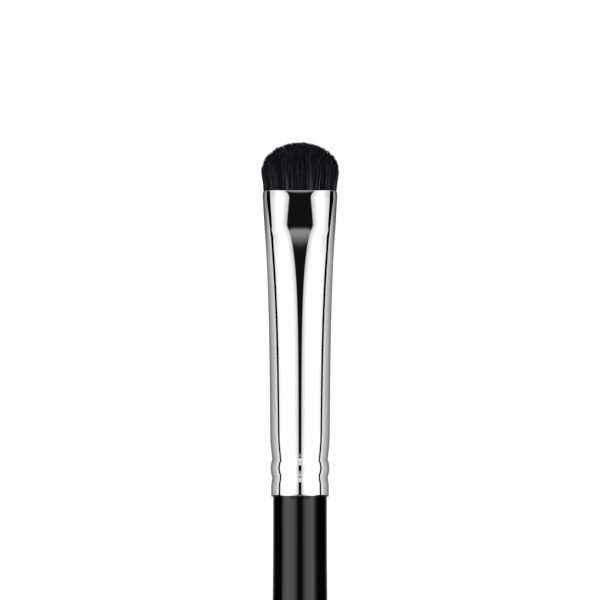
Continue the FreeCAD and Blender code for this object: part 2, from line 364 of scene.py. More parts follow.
# %% Flags and filters beside the ferrule
FLAG_DISTANCE = 16.0
FLAG_PLACES = [45, 62, 64, 69.2, 71.5, 72.8, 74.0, 75.5, 77.2, 83]
FLAG_TOPS = [7.83, 7.7, 7.6, 7.9, 8.3, 9.1, 10.6, 10.4, 9.65, 9.65]
FLAG_BOTTOMS = [5.47, 4.6, 4.4, 4.1, 4.6, 5.0, 5.3, 4.0, 2.6, 0.4]
FILTER_PLACES = [45, 64, 69, 72, 77]
FILTER_HEIGHTS = [12, 14, 18, 22, 26]
FILTER_STRENGTHS = [0.33, 0.38, 0.44, 0.50, 0.58]
FLAG_PAST_FERRULE, FLAG_PAST_MOUTH = 22, 4.8
ferrule_end_y = ferrule_low.y / MM
flag_start = ferrule_end_y - FLAG_PAST_FERRULE
flag_end = mouth_y / MM + FLAG_PAST_MOUTH

for name, side in (("left", -1), ("right", 1)):
    def flag(across, along):
        y = flag_start + (flag_end - flag_start) * along
        bottom = np.interp(y, FLAG_PLACES, FLAG_BOTTOMS)
        top = np.interp(y, FLAG_PLACES, FLAG_TOPS)
        return side * FLAG_DISTANCE, y, bottom + (top - bottom) * across, 0.0

    def over_flag(across, along):
        y = flag_start + (flag_end - flag_start) * along
        top = np.interp(y, FLAG_PLACES, FLAG_TOPS)
        strength = np.interp(y, FILTER_PLACES, FILTER_STRENGTHS)
        height = np.interp(y, FILTER_PLACES, FILTER_HEIGHTS)
        passed = 1 - strength * (1 - ease(across, 0, 1))
        return side * FLAG_DISTANCE, y, top + height * across, passed

    graded_sheet(name + "_flag", 1, 90, flag)
    graded_sheet(name + "_filter", 12, 90, over_flag)

# %% A small stepped lamp over the crimp
# It shines back along the tube, so only the groove flanks that face the tuft show it.
LAMP_PLACE, LAMP_LEAN = 50.0, math.radians(3.2)
# Each step of the lamp: its lower and upper edge and its width, in mm, and its glow.
LAMP_STEPS = [
    (13, 19, 1.8, 0.50), (19, 30, 3.0, 0.60), (30, 48, 5.6, 0.78), (48, 57, 9.0, 0.78),
]
lamp_foot = LAMP_STEPS[0][0]

for number, (low, high, width, glow) in enumerate(LAMP_STEPS, start=1):
    deselect_everything()
    middle = (low + high) / 2
    lamp_y = LAMP_PLACE + (middle - lamp_foot) * math.tan(LAMP_LEAN)
    bpy.ops.object.light_add(
        type="AREA", location=(0, lamp_y * MM, middle * MM),
        rotation=(-math.pi / 2 - LAMP_LEAN, 0, 0),
    )
    lamp = bpy.context.object
    lamp.name = f"crimp_lamp_{number}"
    lamp.data.shape = "RECTANGLE"
    lamp.data.size = width * MM
    lamp.data.size_y = (high - low) * MM
    lamp.data.energy = glow * math.pi * lamp.data.size * lamp.data.size_y
    lamp.visible_camera = False
    lamp.visible_diffuse = False

# %% Flags and filters beside and over the handle
HANDLE_FLAG_DISTANCE = 6.0
LOW_HEIGHTS, LOW_PASSING = [0, 0.8, 1.84, 2.6, 3.2], [1, 1, 0.3, 0.08, 0]
LEFT_HEIGHTS = LOW_HEIGHTS + [6.60, 6.85, 7.27, 7.70, 8.15, 9.4]
LEFT_PASSING = LOW_PASSING + [0, 0.07, 0.34, 0.63, 0.88, 1]
RIGHT_HEIGHTS = LOW_HEIGHTS + [6.96, 7.44, 7.97, 8.42, 8.93, 9.54, 10.23]
RIGHT_PASSING = LOW_PASSING + [0, 0.056, 0.125, 0.21, 0.45, 0.85, 1]
HANDLE_FILTER_TOP = 10.3
OVERHEAD_HEIGHT = 6.5
OVERHEAD_REACH = 4.6
OVERHEAD_PLACES = [0, 0.34, 0.46, 0.83, 1.22, 1.61, 1.98, 2.47]
OVERHEAD_PASSING = [1, 1, 0.05, 0.20, 0.46, 0.69, 0.92, 1]
# Painted shade: near the collar the overhead filter darkens the handle's gloss, standing in for the
# shade of the ferrule's end.
COLLAR_SHADE, COLLAR_SHADE_LENGTH = 0.7, 0.9
FILTER_PAST_TAIL, FILTER_PAST_COLLAR = 5, 0.2
tail_y = handle_low.y / MM - FILTER_PAST_TAIL
handle_top_y = ferrule_end_y + FILTER_PAST_COLLAR

for name, side, heights, levels in (
    ("left", -1, LEFT_HEIGHTS, LEFT_PASSING), ("right", 1, RIGHT_HEIGHTS, RIGHT_PASSING),
):
    def beside_handle(across, along):
        height = HANDLE_FILTER_TOP * across
        passed = np.interp(height, heights, levels)
        y = tail_y + (handle_top_y - tail_y) * along
        return side * HANDLE_FLAG_DISTANCE, y, height, passed

    graded_sheet(name + "_handle_filter", 110, 2, beside_handle)


def over_handle(across, along):
    """A sheet over the handle that dims the inner edges of the softboxes, and paints a shade in the
    handle's gloss just below the collar.
    """
    x = OVERHEAD_REACH * (2 * across - 1)
    y = tail_y + (handle_top_y - tail_y) * (1 - (1 - along) ** 3)
    passed = np.interp(np.abs(x), OVERHEAD_PLACES, OVERHEAD_PASSING)
    # Painted shade in the gloss just below the collar.
    passed = passed * (1 - COLLAR_SHADE * ease(y, handle_top_y - COLLAR_SHADE_LENGTH, handle_top_y))
    return x, y, axis_z / MM + OVERHEAD_HEIGHT, passed


graded_sheet("overhead_filter", 200, 40, over_handle)

# %% [markdown]
# Beyond the tent the room is plain white.

# %% World
world = bpy.data.worlds.new("white_room")
world.use_nodes = True
bpy.context.scene.world = world
background = world.node_tree.nodes["Background"]
background.inputs["Color"].default_value = WHITE
background.inputs["Strength"].default_value = 1.0

# %% [markdown]
# ## Shared surface effects
# No real surface has quite the same gloss all over. One node group puts out a value that wanders
# softly between two limits, and a second one turns fine noise into a normal. Both are placed in
# several materials below, each time with its own scale.

# %% Node groups: wandering value and fine relief


def wandering_value_group():
    """Group: soft noise over the surface, spread between a low and a high value."""
    group = bpy.data.node_groups.new("wandering_value", "ShaderNodeTree")
    sockets = (("Vector", "Vector"), ("Scale", "Float"), ("Low", "Float"), ("High", "Float"))
    for name, kind in sockets:
        group.interface.new_socket(name=name, in_out="INPUT", socket_type="NodeSocket" + kind)
    group.interface.new_socket(name="Value", in_out="OUTPUT", socket_type="NodeSocketFloat")
    ends = group.nodes.new("NodeGroupInput")
    noise = add_node(
        group, "TexNoise", Vector=ends.outputs["Vector"], Scale=ends.outputs["Scale"], Detail=3.0,
    )
    spread = add_node(
        group, "MapRange", Value=noise.outputs["Fac"], From_Min=0.3, From_Max=0.7,
        To_Min=ends.outputs["Low"], To_Max=ends.outputs["High"],
    )
    result = group.nodes.new("NodeGroupOutput")
    group.links.new(spread.outputs[0], result.inputs["Value"])
    return group


def fine_relief_group():
    """Group: a normal from fine noise, for a skin that isn't quite even."""
    group = bpy.data.node_groups.new("fine_relief", "ShaderNodeTree")
    for name, kind in (("Vector", "Vector"), ("Scale", "Float"), ("Depth", "Float")):
        group.interface.new_socket(name=name, in_out="INPUT", socket_type="NodeSocket" + kind)
    group.interface.new_socket(name="Normal", in_out="OUTPUT", socket_type="NodeSocketVector")
    ends = group.nodes.new("NodeGroupInput")
    noise = add_node(
        group, "TexNoise", Vector=ends.outputs["Vector"], Scale=ends.outputs["Scale"], Detail=2.0,
    )
    bump = add_node(
        group, "Bump", Height=noise.outputs["Fac"], Strength=1.0, Distance=ends.outputs["Depth"],
    )
    result = group.nodes.new("NodeGroupOutput")
    group.links.new(bump.outputs["Normal"], result.inputs["Normal"])
    return group


WANDERING_VALUE = wandering_value_group()
FINE_RELIEF = fine_relief_group()


def wandering_value(tree, vector, scale, low, high):
    """Place the wandering value in a material."""
    node = tree.nodes.new("ShaderNodeGroup")
    node.node_tree = WANDERING_VALUE
    tree.links.new(vector, node.inputs["Vector"])
    for name, value in (("Scale", scale), ("Low", low), ("High", high)):
        node.inputs[name].default_value = value
    return node.outputs["Value"]


def fine_relief(tree, vector, scale, depth):
    """Place the fine relief in a material."""
    node = tree.nodes.new("ShaderNodeGroup")
    node.node_tree = FINE_RELIEF
    tree.links.new(vector, node.inputs["Vector"])
    node.inputs["Scale"].default_value = scale
    node.inputs["Depth"].default_value = depth
    return node.outputs["Normal"]


def object_place(tree, stretch=(1, 1, 1)):
    """The place on the piece, stretched so that a pattern can run along it."""
    coordinates = tree.nodes.new("ShaderNodeTexCoord")
    mapping = add_node(tree, "Mapping", Vector=coordinates.outputs["Object"], Scale=stretch)
    return mapping.outputs["Vector"]


print("groups:", [group.name for group in (WANDERING_VALUE, FINE_RELIEF)])

# %% [markdown]
# ## Ferrule: the tube
# The real ferrule starts as a drawn tube. Its mouth is pressed flat between two jaws, so behind
# the flat there is a knee from which the tube swells back to round, and its tail is crimped onto
# the handle with two grooves and a bead. It is made here in the same order: a ring is drawn out
# into a tube, closer where it will bend most, and then the tube is pressed.

# %% Draw a ring out into a tube
RING_POINTS = 192
LIP_DEPTH = 0.1
TUBE_RADIUS = 4.0
WALL = 0.25
# Each stretch of the tube: where it ends, as a depth, and how many rings it has.
TUBE_STRETCHES = [
    (0.24, 1), (1.5, 16), (3.6, 8), (7.2, 30), (20.0, 56), (32.1, 36),
    (35.5, 16), (36.4, 18), (38.1, 16), (38.9, 16), (40.84, 16), (41.0, 1),
]

deselect_everything()
bpy.ops.mesh.primitive_circle_add(
    vertices=RING_POINTS, radius=TUBE_RADIUS * MM, fill_type="NOTHING",
    location=(0, mouth_y - LIP_DEPTH * MM, axis_z), rotation=(math.pi / 2, 0, 0),
)
ferrule = bpy.context.object
ferrule.name = "plated_ferrule"
bpy.ops.object.mode_set(mode="EDIT")
bpy.ops.mesh.select_all(action="SELECT")
reached = LIP_DEPTH
for end, rings in TUBE_STRETCHES:
    step = (end - reached) / rings * MM
    bpy.ops.mesh.extrude_repeat(steps=rings, offset=(0, -step, 0))
    reached = end
bpy.ops.mesh.select_all(action="SELECT")
bpy.ops.mesh.normals_make_consistent(inside=False)
bpy.ops.object.mode_set(mode="OBJECT")
put_place_in_mesh(ferrule)
print("tube:", len(ferrule.data.vertices), "points,", len(ferrule.data.polygons), "faces")

# %% [markdown]
# The press is a rule for the section at each depth: how wide, how thick and how flat it is. A flat
# share runs from one at the mouth to nothing at the crimp, and dies away behind the knee as the
# metal springs back to round. The lip itself is rolled in a little.

# %% Rule for the section at a depth
KNEE_DEPTH, KNEE_SOFTNESS, KNEE_WIDTH = 4.88, 0.8, 9.52
MOUTH_WIDTH, MOUTH_THICKNESS = 10.1, 5.5
FLATNESS_RISE, KNEE_FLATNESS, MOUTH_SLACK = 1.65, 0.75, 1.2
THICKNESS_RECOVERY, WIDTH_RECOVERY = 5.9, 10.7
CRIMP_DEPTH = 32.1
LIP_ROLL, LIP_ROLL_LENGTH = 0.1, 1.4
LIP_FLATNESS, LIP_FLATNESS_LENGTH = 1.4, 1.1
KNEE_LAG, KNEE_SHARPNESS = 0.6, 24


def soft_ramp(distance):
    """Nothing before the knee and the distance itself after it, with a round bend between."""
    bend = (distance + KNEE_SOFTNESS) ** 2 / (4 * KNEE_SOFTNESS)
    after = np.where(distance > KNEE_SOFTNESS, distance, bend)
    return np.where(distance < -KNEE_SOFTNESS, 0, after)


def pressed_share(depth, recovery):
    """How much of the press is left at a depth."""
    left = np.exp(-soft_ramp(depth - KNEE_DEPTH) / recovery)
    left_at_crimp = math.exp(-(CRIMP_DEPTH - KNEE_DEPTH) / recovery)
    return np.clip((left - left_at_crimp) / (1 - left_at_crimp), 0, 1)


def pressed_section(depth):
    """Half width, half thickness and flatness of the ferrule's outside at a depth."""
    flat = pressed_share(depth, THICKNESS_RECOVERY)
    wide = pressed_share(depth, WIDTH_RECOVERY)
    flare = soft_ramp(KNEE_DEPTH - depth) / KNEE_DEPTH
    half_width = TUBE_RADIUS + wide * (KNEE_WIDTH / 2 - TUBE_RADIUS)
    half_width = half_width + flare * (MOUTH_WIDTH - KNEE_WIDTH) / 2
    half_thickness = TUBE_RADIUS + flat * (MOUTH_THICKNESS / 2 - TUBE_RADIUS)
    from_lip = depth - LIP_DEPTH
    roll = LIP_ROLL * np.clip(1 - from_lip / LIP_ROLL_LENGTH, 0, 1) ** 3
    at_knee = pressed_share(depth - KNEE_LAG, THICKNESS_RECOVERY) ** KNEE_SHARPNESS
    flatness = 2 + FLATNESS_RISE * flat + KNEE_FLATNESS * at_knee
    flatness = flatness - MOUTH_SLACK * np.clip(1 - depth / KNEE_DEPTH, 0, 1)
    flatness = flatness + LIP_FLATNESS * np.clip(1 - from_lip / LIP_FLATNESS_LENGTH, 0, 1) ** 2
    return half_width - roll, half_thickness - roll, flatness


def oval_point(turn, half_width, half_thickness, flatness):
    """A point of an oval at a turn from its upper middle: across and up."""
    across = np.sin(turn)
    up = np.sqrt(np.clip(1 - np.abs(across) ** flatness, 0, None))
    return half_width * across, half_thickness * np.copysign(up, np.cos(turn))


for depth in (0, KNEE_DEPTH, 10, CRIMP_DEPTH):
    section = pressed_section(np.float64(depth))
    print(f"section at {depth} mm:", [round(float(size), 2) for size in section])

# %% [markdown]
# The crimp is a rule too: the tube sinks in a shallow curve to the first groove, swells to a bead,
# sinks to the second groove and rises to the collar. A short smoothing rounds the groove floors,
# because metal can't be folded to a sharp corner.

# %% Rule for the crimped end
FIRST_GROOVE, SECOND_GROOVE, COLLAR_START = 36.0, 38.5, 39.8
GROOVE_RADIUS, BEAD_RADIUS, COLLAR_RADIUS = 3.70, 3.93, 3.86
GROOVE_ROUNDING = 0.19
RULE_STEP = 0.02
RULE_MARGIN = 2.0


def crimp_outline():
    """Depths and radii of the crimped end's outside, with rounded groove floors."""
    depth = np.arange(CRIMP_DEPTH - RULE_MARGIN, ferrule_length + RULE_MARGIN, RULE_STEP)
    shoulder_share = np.clip((depth - CRIMP_DEPTH) / (FIRST_GROOVE - CRIMP_DEPTH), 0, 1)
    shoulder = TUBE_RADIUS - (TUBE_RADIUS - GROOVE_RADIUS) * shoulder_share**2
    bead_middle = (FIRST_GROOVE + SECOND_GROOVE) / 2
    bead_half = (SECOND_GROOVE - FIRST_GROOVE) / 2
    bead = BEAD_RADIUS - (BEAD_RADIUS - GROOVE_RADIUS) * ((depth - bead_middle) / bead_half) ** 2
    runout_share = np.clip((COLLAR_START - depth) / (COLLAR_START - SECOND_GROOVE), 0, 1)
    collar = COLLAR_RADIUS - (COLLAR_RADIUS - GROOVE_RADIUS) * runout_share**2
    behind_shoulder = np.where(depth < SECOND_GROOVE, bead, collar)
    radius = np.where(depth < FIRST_GROOVE, shoulder, behind_shoulder)
    spread = np.arange(-2 * GROOVE_ROUNDING, 2 * GROOVE_ROUNDING + RULE_STEP / 2, RULE_STEP)
    weights = np.exp(-((spread / (GROOVE_ROUNDING / 2)) ** 2) / 2)
    edge = len(weights) // 2
    padded_radius = np.pad(radius, edge, mode="edge")
    return depth, np.convolve(padded_radius, weights / weights.sum(), mode="valid")


crimp_depths, crimp_radii = crimp_outline()
print("groove floor:", round(float(crimp_radii.min()), 3), "mm from the axis")

# %% Press the mouth, crimp the tail
points = np.empty(len(ferrule.data.vertices) * 3)
ferrule.data.vertices.foreach_get("co", points)
points = points.reshape(-1, 3)
depth = (mouth_y - points[:, 1]) / MM
turn = np.arctan2(points[:, 0], points[:, 2] - axis_z)
half_width, half_thickness, flatness = pressed_section(depth)
crimped = np.interp(depth, crimp_depths, crimp_radii) - TUBE_RADIUS
crimped = np.where(depth > CRIMP_DEPTH, crimped, 0)
across, up = oval_point(turn, half_width + crimped, half_thickness + crimped, flatness)
points[:, 0] = across * MM
points[:, 2] = axis_z + up * MM
ferrule.data.vertices.foreach_set("co", points.ravel())
ferrule.data.update()
widths = np.ptp(points[depth < KNEE_DEPTH], axis=0) / MM
print(f"pressed end: {widths[0]:.2f} mm wide, {widths[2]:.2f} mm thick")

# %% [markdown]
# The wall grows inwards with a Solidify modifier. Its inner skin is then set to the exact wall at
# each depth, because the lip is burnished thin, and the rims at the two ends are rounded with the
# bevel tool, so the lip catches a thin line of light.

# %% Give the tube its wall
LIP_WALL, LIP_THINNING_LENGTH = 0.14, 0.7

deselect_everything()
ferrule.select_set(True)
bpy.context.view_layer.objects.active = ferrule
outside_points = len(ferrule.data.vertices)
wall = ferrule.modifiers.new("wall", "SOLIDIFY")
wall.thickness = WALL * MM
wall.offset = -1
bpy.ops.object.modifier_apply(modifier=wall.name)


def wall_thickness(depth):
    """The wall at a depth, thinner at the lip."""
    return WALL - (WALL - LIP_WALL) * ease(depth, LIP_THINNING_LENGTH, 0)


slope_across = flatness * np.abs(np.sin(turn)) ** (flatness - 1)
slope_across = slope_across * np.sign(across) / (half_width + crimped)
slope_up = 2 * up / (half_thickness + crimped) ** 2
slope_length = np.hypot(slope_across, slope_up)
inner = points.copy()
inner[:, 0] -= wall_thickness(depth) * slope_across / slope_length * MM
inner[:, 2] -= wall_thickness(depth) * slope_up / slope_length * MM
ferrule.data.vertices.foreach_set("co", np.vstack([points, inner]).ravel())
ferrule.data.update()
inside_points = len(ferrule.data.vertices) - outside_points
print("wall:", inside_points, "points inside,", outside_points, "outside")

# %% Round the two rims
RIM_ROUNDING, RIM_SEGMENTS = 0.06, 4
RIM_TOLERANCE = 0.01
rim_places = (mouth_y - LIP_DEPTH * MM, mouth_y - ferrule_length * MM)

bpy.ops.object.mode_set(mode="EDIT")
bpy.ops.mesh.select_mode(type="EDGE")
bpy.ops.mesh.select_all(action="DESELECT")
bpy.ops.object.mode_set(mode="OBJECT")
rim_edges = 0
for edge in ferrule.data.edges:
    one, two = edge.vertices
    ends = [ferrule.data.vertices[index].co.y for index in (one, two)]
    at_rim = any(
        max(abs(end - place) for end in ends) < RIM_TOLERANCE * MM for place in rim_places
    )
    across_wall = (one < outside_points) != (two < outside_points)
    edge.select = at_rim and not across_wall
    rim_edges += edge.select
bpy.ops.object.mode_set(mode="EDIT")
bpy.ops.mesh.bevel(offset=RIM_ROUNDING * MM, segments=RIM_SEGMENTS, affect="EDGES")
bpy.ops.object.mode_set(mode="OBJECT")
bpy.ops.object.shade_smooth()
print("rim edges:", rim_edges, "faces:", len(ferrule.data.polygons))

# %% [markdown]
# ## Plating
# Bright plating is a mirror: a metal with almost no roughness. Polishing leaves hair-fine lines
# round the tube and a faint haze that comes and goes, so the roughness wanders a little.

# %% Plated metal
PLATING_BLUE = 1.006

plating, tree, output = new_material("bright_plating")
along = object_place(tree, (1, 6, 1))
haze = wandering_value(tree, object_place(tree), 260.0, 0.012, 0.035)
tone = wandering_value(tree, along, 420.0, 0.865, 0.885)
blue = math_node(tree, "MULTIPLY", tone, PLATING_BLUE)
tint = add_node(tree, "CombineColor", Red=tone, Green=tone, Blue=blue)
metal = add_node(
    tree, "BsdfPrincipled", Base_Color=tint.outputs[0], Roughness=haze, Metallic=1.0,
    Normal=fine_relief(tree, along, 900.0, 0.00000005),
)
tree.links.new(metal.outputs[0], output.inputs["Surface"])
ferrule.data.materials.append(plating)
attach(ferrule, "root")
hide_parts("ferrule")

# %% [markdown]
# ## Handle
# A handle is turned on a lathe, and Spin is Blender's lathe: half of the outline is drawn point by
# point and swept once round the axis. The tenon inside the ferrule is dented where the crimp bites.

# %% Outline of the turned handle
NECK_RADIUS, BELLY_RADIUS, TAIL_RADIUS = 3.59, 4.0, 2.35
NECK_LENGTH, SWELL_LENGTH, BELLY_LENGTH = 4.0, 48.0, 14.0
HOLLOW_SHARE = 0.3
TENON_TIP_RADIUS, TENON_TIP_LENGTH = 3.3, 3.0
CRIMP_CLEARANCE = 0.02
COLLAR_STEP = 0.02
TENON_RINGS, SHAFT_RINGS, BALL_RINGS = 40, 110, 14
tenon_depth = (mouth_y - handle_high.y) / MM
neck_end = ferrule_length + NECK_LENGTH
belly_start = neck_end + SWELL_LENGTH
belly_end = belly_start + BELLY_LENGTH


def shaft_radius(depth):
    """Radius of the handle between the tenon and the round tail."""
    swell_rise = BELLY_RADIUS - NECK_RADIUS
    share = np.clip((depth - neck_end) / SWELL_LENGTH, 0, 1)
    hollow = swell_rise * HOLLOW_SHARE * (share / HOLLOW_SHARE) ** 2
    full = swell_rise * (1 - (1 - HOLLOW_SHARE) * ((1 - share) / (1 - HOLLOW_SHARE)) ** 2)
    swell = NECK_RADIUS + np.where(share < HOLLOW_SHARE, hollow, full)
    taper = np.clip((depth - belly_end) / (taper_end - belly_end), 0, 1)
    return swell - (BELLY_RADIUS - TAIL_RADIUS) * taper**2


taper_fall = BELLY_RADIUS - TAIL_RADIUS
taper_angle = math.atan(2 * taper_fall / (tail_depth - TAIL_RADIUS - belly_end))
ball_radius = TAIL_RADIUS / math.cos(taper_angle)
ball_depth = tail_depth - ball_radius
taper_end = ball_depth + ball_radius * math.sin(taper_angle)

outline = [(0.0, tenon_depth), (TENON_TIP_RADIUS, tenon_depth)]
for depth in np.linspace(
    tenon_depth + TENON_TIP_LENGTH, ferrule_length - COLLAR_STEP, TENON_RINGS,
):
    dent = np.interp(depth, crimp_depths, crimp_radii) - WALL - CRIMP_CLEARANCE
    outline.append((min(NECK_RADIUS, float(dent)), float(depth)))
for depth in np.linspace(ferrule_length + COLLAR_STEP, taper_end, SHAFT_RINGS):
    outline.append((float(shaft_radius(depth)), float(depth)))
for angle in np.linspace(taper_angle, math.pi / 2, BALL_RINGS)[1:]:
    ball_place = ball_depth + ball_radius * math.sin(angle)
    outline.append((float(ball_radius * math.cos(angle)), float(ball_place)))
outline[-1] = (0.0, tail_depth)
print("outline:", len(outline), "points, widest", max(radius for radius, _ in outline))

# %% Turn the handle
LATHE_STEPS = 128
MERGE_DISTANCE = 0.0005
EDGE_ANGLE = math.radians(40)

deselect_everything()
bpy.ops.mesh.primitive_plane_add(size=MM)
handle = bpy.context.object
handle.name = "lacquered_handle"
bpy.ops.object.mode_set(mode="EDIT")
bpy.ops.mesh.select_mode(type="VERT")
bpy.ops.mesh.select_all(action="SELECT")
bpy.ops.mesh.merge(type="CENTER")
start_radius, start_depth = outline[0]
bpy.ops.transform.translate(value=(start_radius * MM, mouth_y - start_depth * MM, axis_z))
for (radius, depth), (next_radius, next_depth) in zip(outline, outline[1:]):
    move = ((next_radius - radius) * MM, (depth - next_depth) * MM, 0)
    bpy.ops.mesh.extrude_vertices_move(TRANSFORM_OT_translate={"value": move})
bpy.ops.mesh.select_all(action="SELECT")
bpy.ops.mesh.spin(
    steps=LATHE_STEPS, angle=math.tau, center=(0, mouth_y, axis_z), axis=(0, 1, 0),
    use_auto_merge=True,
)
bpy.ops.mesh.select_all(action="SELECT")
bpy.ops.mesh.remove_doubles(threshold=MERGE_DISTANCE * MM)
bpy.ops.mesh.normals_make_consistent(inside=False)
bpy.ops.object.mode_set(mode="OBJECT")
put_place_in_mesh(handle)
bpy.ops.object.shade_smooth_by_angle(angle=EDGE_ANGLE)
print("handle:", len(handle.data.polygons), "faces")

# %% [markdown]
# ## Black lacquer
# The lacquer is a dark, glossy skin over wood. It is almost black, a little uneven from the dip,
# and soft enough in its gloss that the softboxes fade at their edges.

# %% Black lacquer
lacquer, tree, output = new_material("black_lacquer")
place = object_place(tree)
depth_tone = wandering_value(tree, object_place(tree, (1, 0.15, 1)), 900.0, 0.0004, 0.0012)
tint = add_node(tree, "CombineColor", Red=depth_tone, Green=depth_tone, Blue=depth_tone)
skin = add_node(
    tree, "BsdfPrincipled", Base_Color=tint.outputs[0], IOR=1.6,
    Roughness=wandering_value(tree, place, 180.0, 0.07, 0.12),
    Normal=fine_relief(tree, place, 700.0, 0.000001),
)
tree.links.new(skin.outputs[0], output.inputs["Surface"])
handle.data.materials.append(lacquer)
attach(handle, "root")
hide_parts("handle")

# %% [markdown]
# ## Tuft: one filament
# The tuft is thousands of fine synthetic filaments, tied at a round waist, glued at the root, and
# squeezed through the flat mouth. One filament is modelled by hand: a small five-sided ring drawn
# out in nine steps, thinner at its tip. Each copy then gets its own path.

# %% Model one filament
FILAMENT_SIDES = 5
FILAMENT_STEPS = 9
FILAMENT_TIP = 0.3

deselect_everything()
bpy.ops.mesh.primitive_circle_add(
    vertices=FILAMENT_SIDES, radius=1, fill_type="NGON", rotation=(math.pi / 2, 0, 0),
)
filament = bpy.context.object
filament.name = "one_filament"
bpy.ops.object.mode_set(mode="EDIT")
bpy.ops.mesh.select_all(action="SELECT")
bpy.ops.mesh.extrude_repeat(steps=FILAMENT_STEPS, offset=(0, 1, 0))
bpy.ops.transform.resize(value=(FILAMENT_TIP, 1, FILAMENT_TIP))
bpy.ops.mesh.select_all(action="SELECT")
bpy.ops.mesh.normals_make_consistent(inside=False)
bpy.ops.object.mode_set(mode="OBJECT")
put_place_in_mesh(filament)
filament_points = np.array([vertex.co for vertex in filament.data.vertices])
filament_faces = [tuple(face.vertices) for face in filament.data.polygons]
filament_ring = np.rint(filament_points[:, 1]).astype(int)
bpy.data.objects.remove(filament)
print("filament:", len(filament_points), "points,", len(filament_faces), "faces")

# %% [markdown]
# ## Tuft: paths for all filaments
# Seeds are spread over a disc like the seeds of a sunflower. The same disc is a circle at the tied
# waist, the inside of the ferrule at the mouth, and a slightly wider oval above it. The free ends
# stop on a dome. Neighbours lean together into small locks, as fine fibres do.

# %% Lay out the filaments
FILAMENT_COUNT = 4100
FILAMENT_RADIUS = 0.049
LOCKS = 900
LOCK_PULL, LOCK_POINT = 0.45, 0.16
SEED_JITTER, SEED_TURN_JITTER, LOCK_TURN_JITTER = 0.004, 0.01, 0.05
ROOT_DEPTH, WAIST_DEPTH, STRAIGHT_DEPTH = 16.0, 11.5, 8.5
WAIST_RADIUS = 2.85
TUFT_WIDEST_HEIGHT, TUFT_HALF_WIDTH, TUFT_HALF_THICKNESS = 2.75, 5.11, 2.66
TUFT_SPREAD_HEIGHT = 2.35
TUFT_LIP_HEIGHT, TUFT_LIP_HALF_WIDTH, TUFT_LIP_HALF_THICKNESS = 0.12, 4.96, 2.62
TUFT_FLATNESS = 2.3
GOLDEN_TURN = math.pi * (3 - math.sqrt(5))

rng = np.random.default_rng(11)
seed_index = np.arange(FILAMENT_COUNT)
seed_out = np.sqrt((seed_index + 0.5) / FILAMENT_COUNT)
seed_turn = seed_index * GOLDEN_TURN + rng.normal(0, SEED_TURN_JITTER, FILAMENT_COUNT)
seed_out = np.clip(seed_out + rng.normal(0, SEED_JITTER, FILAMENT_COUNT), 0, 1)

lock_index = np.arange(LOCKS)
lock_out = np.sqrt((lock_index + 0.5) / LOCKS)
lock_turn = lock_index * GOLDEN_TURN + rng.normal(0, LOCK_TURN_JITTER, LOCKS)


def over_disc(out, turn, half_width, half_thickness, flatness):
    """Across and up of seeds whose disc is stretched to an oval."""
    across, up = oval_point(turn, half_width, half_thickness, flatness)
    return np.column_stack([out * across, out * up])


widest = (TUFT_HALF_WIDTH, TUFT_HALF_THICKNESS, TUFT_FLATNESS)
seed_wide = over_disc(seed_out, seed_turn, *widest)
lock_wide = over_disc(lock_out, lock_turn, *widest)
to_lock = seed_wide[:, None, :] - lock_wide[None, :, :]
nearest_lock = np.argmin((to_lock**2).sum(axis=2), axis=1)
lock_radius = math.sqrt(TUFT_HALF_WIDTH * TUFT_HALF_THICKNESS / LOCKS)
print("filaments:", FILAMENT_COUNT, "in locks of about", round(FILAMENT_COUNT / LOCKS, 1))

# %% Stations inside the ferrule and at its lip
KNEE_STATION, LIP_STATION = KNEE_DEPTH - 0.4, LIP_DEPTH + 0.05
WALL_CLEARANCE = 0.02

stations = []
waist = WAIST_RADIUS - FILAMENT_RADIUS
for depth in (ROOT_DEPTH, WAIST_DEPTH):
    stations.append((-depth, over_disc(seed_out, seed_turn, waist, waist, 2)))
for depth in (STRAIGHT_DEPTH, KNEE_STATION, LIP_STATION):
    half_width, half_thickness, flatness = pressed_section(np.float64(depth))
    inset = wall_thickness(np.float64(depth)) + WALL_CLEARANCE + FILAMENT_RADIUS
    inside = (half_width - inset, half_thickness - inset, flatness)
    stations.append((-depth, over_disc(seed_out, seed_turn, *inside)))
at_lip = (TUFT_LIP_HALF_WIDTH - FILAMENT_RADIUS, TUFT_LIP_HALF_THICKNESS - FILAMENT_RADIUS)
seed_lip = over_disc(seed_out, seed_turn, *at_lip, TUFT_FLATNESS)
stations.append((TUFT_LIP_HEIGHT, seed_lip))
print("stations at", [round(float(height), 2) for height, _ in stations], "mm from the mouth")

# %% Where each filament ends and which way its tip leans
LOCK_LENGTH, LOCK_LENGTH_SPREAD = 0.03, 0.12
TRIM_INSIDE, TRIM_RISE = 0.5, 0.7
FILAMENT_TRIM, FILAMENT_LEAN = 0.05, 0.05
TIP_FLICK, FLICK_LIMIT = 0.11, 1.5

dome_rise = free_length - TUFT_WIDEST_HEIGHT
tip_height = TUFT_WIDEST_HEIGHT + dome_rise * np.sqrt(np.clip(1 - seed_out**2, 0, 1))
lock_trim = rng.normal(LOCK_LENGTH, LOCK_LENGTH_SPREAD, LOCKS)[nearest_lock]
lock_trim = lock_trim * (TRIM_INSIDE + TRIM_RISE * seed_out**2)
from_lock = np.hypot(*(seed_wide - lock_wide[nearest_lock]).T) / lock_radius
own_trim = np.abs(rng.normal(0, FILAMENT_TRIM, FILAMENT_COUNT))
tip_height = tip_height + lock_trim - LOCK_POINT * from_lock**2 - own_trim
tip_height = np.minimum(tip_height, free_length)
lean = rng.normal(0, FILAMENT_LEAN, (FILAMENT_COUNT, 2))
pull = (lock_wide[nearest_lock] - seed_wide) * LOCK_PULL
outwards = seed_wide / np.hypot(*seed_wide.T)[:, None]
flick_reach = np.abs(rng.normal(0, TIP_FLICK, FILAMENT_COUNT))
flick_reach = np.minimum(flick_reach, FLICK_LIMIT * TIP_FLICK)
flick = outwards * (flick_reach * seed_out**2)[:, None]
print(f"tips from {tip_height.min():.2f} to {tip_height.max():.2f} mm above the mouth")

